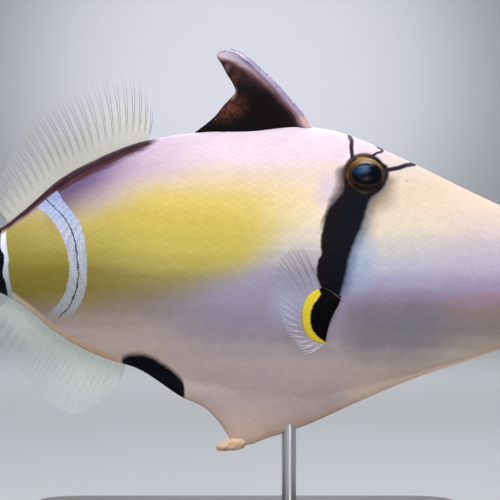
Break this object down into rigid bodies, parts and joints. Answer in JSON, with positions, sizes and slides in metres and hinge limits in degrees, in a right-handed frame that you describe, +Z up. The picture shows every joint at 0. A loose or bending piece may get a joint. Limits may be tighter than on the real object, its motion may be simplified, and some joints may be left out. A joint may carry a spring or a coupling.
{
  "type": "patchy triggerfish model",
  "caption": "Life-size still model of a deep, flat-sided reef fish with a raised dorsal spine and a long snout, held above a flat base by a rod.",
  "frame": {"origin": "middle of the underside of the box round the whole model, on the surface that the stand rests on", "axes": "+X from the tail to the snout, +Y to the fish's left, +Z up"},
  "size_m": [0.2208, 0.062, 0.1364],
  "materials": {
    "yellow_skin": "painted, slightly moist look",
    "pale_skin": "painted, slightly moist look",
    "dark_skin": "painted, slightly moist look",
    "lip_flesh": "painted, slightly moist look",
    "dark_fin": "painted",
    "clear_fin": "thin, nearly clear between pale rays",
    "eye_gloss": "polished",
    "tooth": "polished",
    "dark_wood": "satin lacquer",
    "steel": "satin"
  },
  "bodies": {
    "root": {"head": "pale_skin", "trunk": "yellow_skin", "tail_stalk": "dark_skin", "upper_lip": "lip_flesh", "lower_lip": "lip_flesh", "upper_teeth": "tooth", "lower_teeth": "tooth", "eye_left": "eye_gloss", "eye_right": "eye_gloss", "dorsal_fin_front": "dark_fin", "dorsal_fin_rear": "clear_fin", "anal_fin": "clear_fin", "tail_fin": "clear_fin", "pectoral_fin_left": "clear_fin", "pectoral_fin_right": "clear_fin", "pelvic_spine": "pale_skin", "stand_base": "dark_wood", "stand_rod": "steel"}
  },
  "joints": []
}
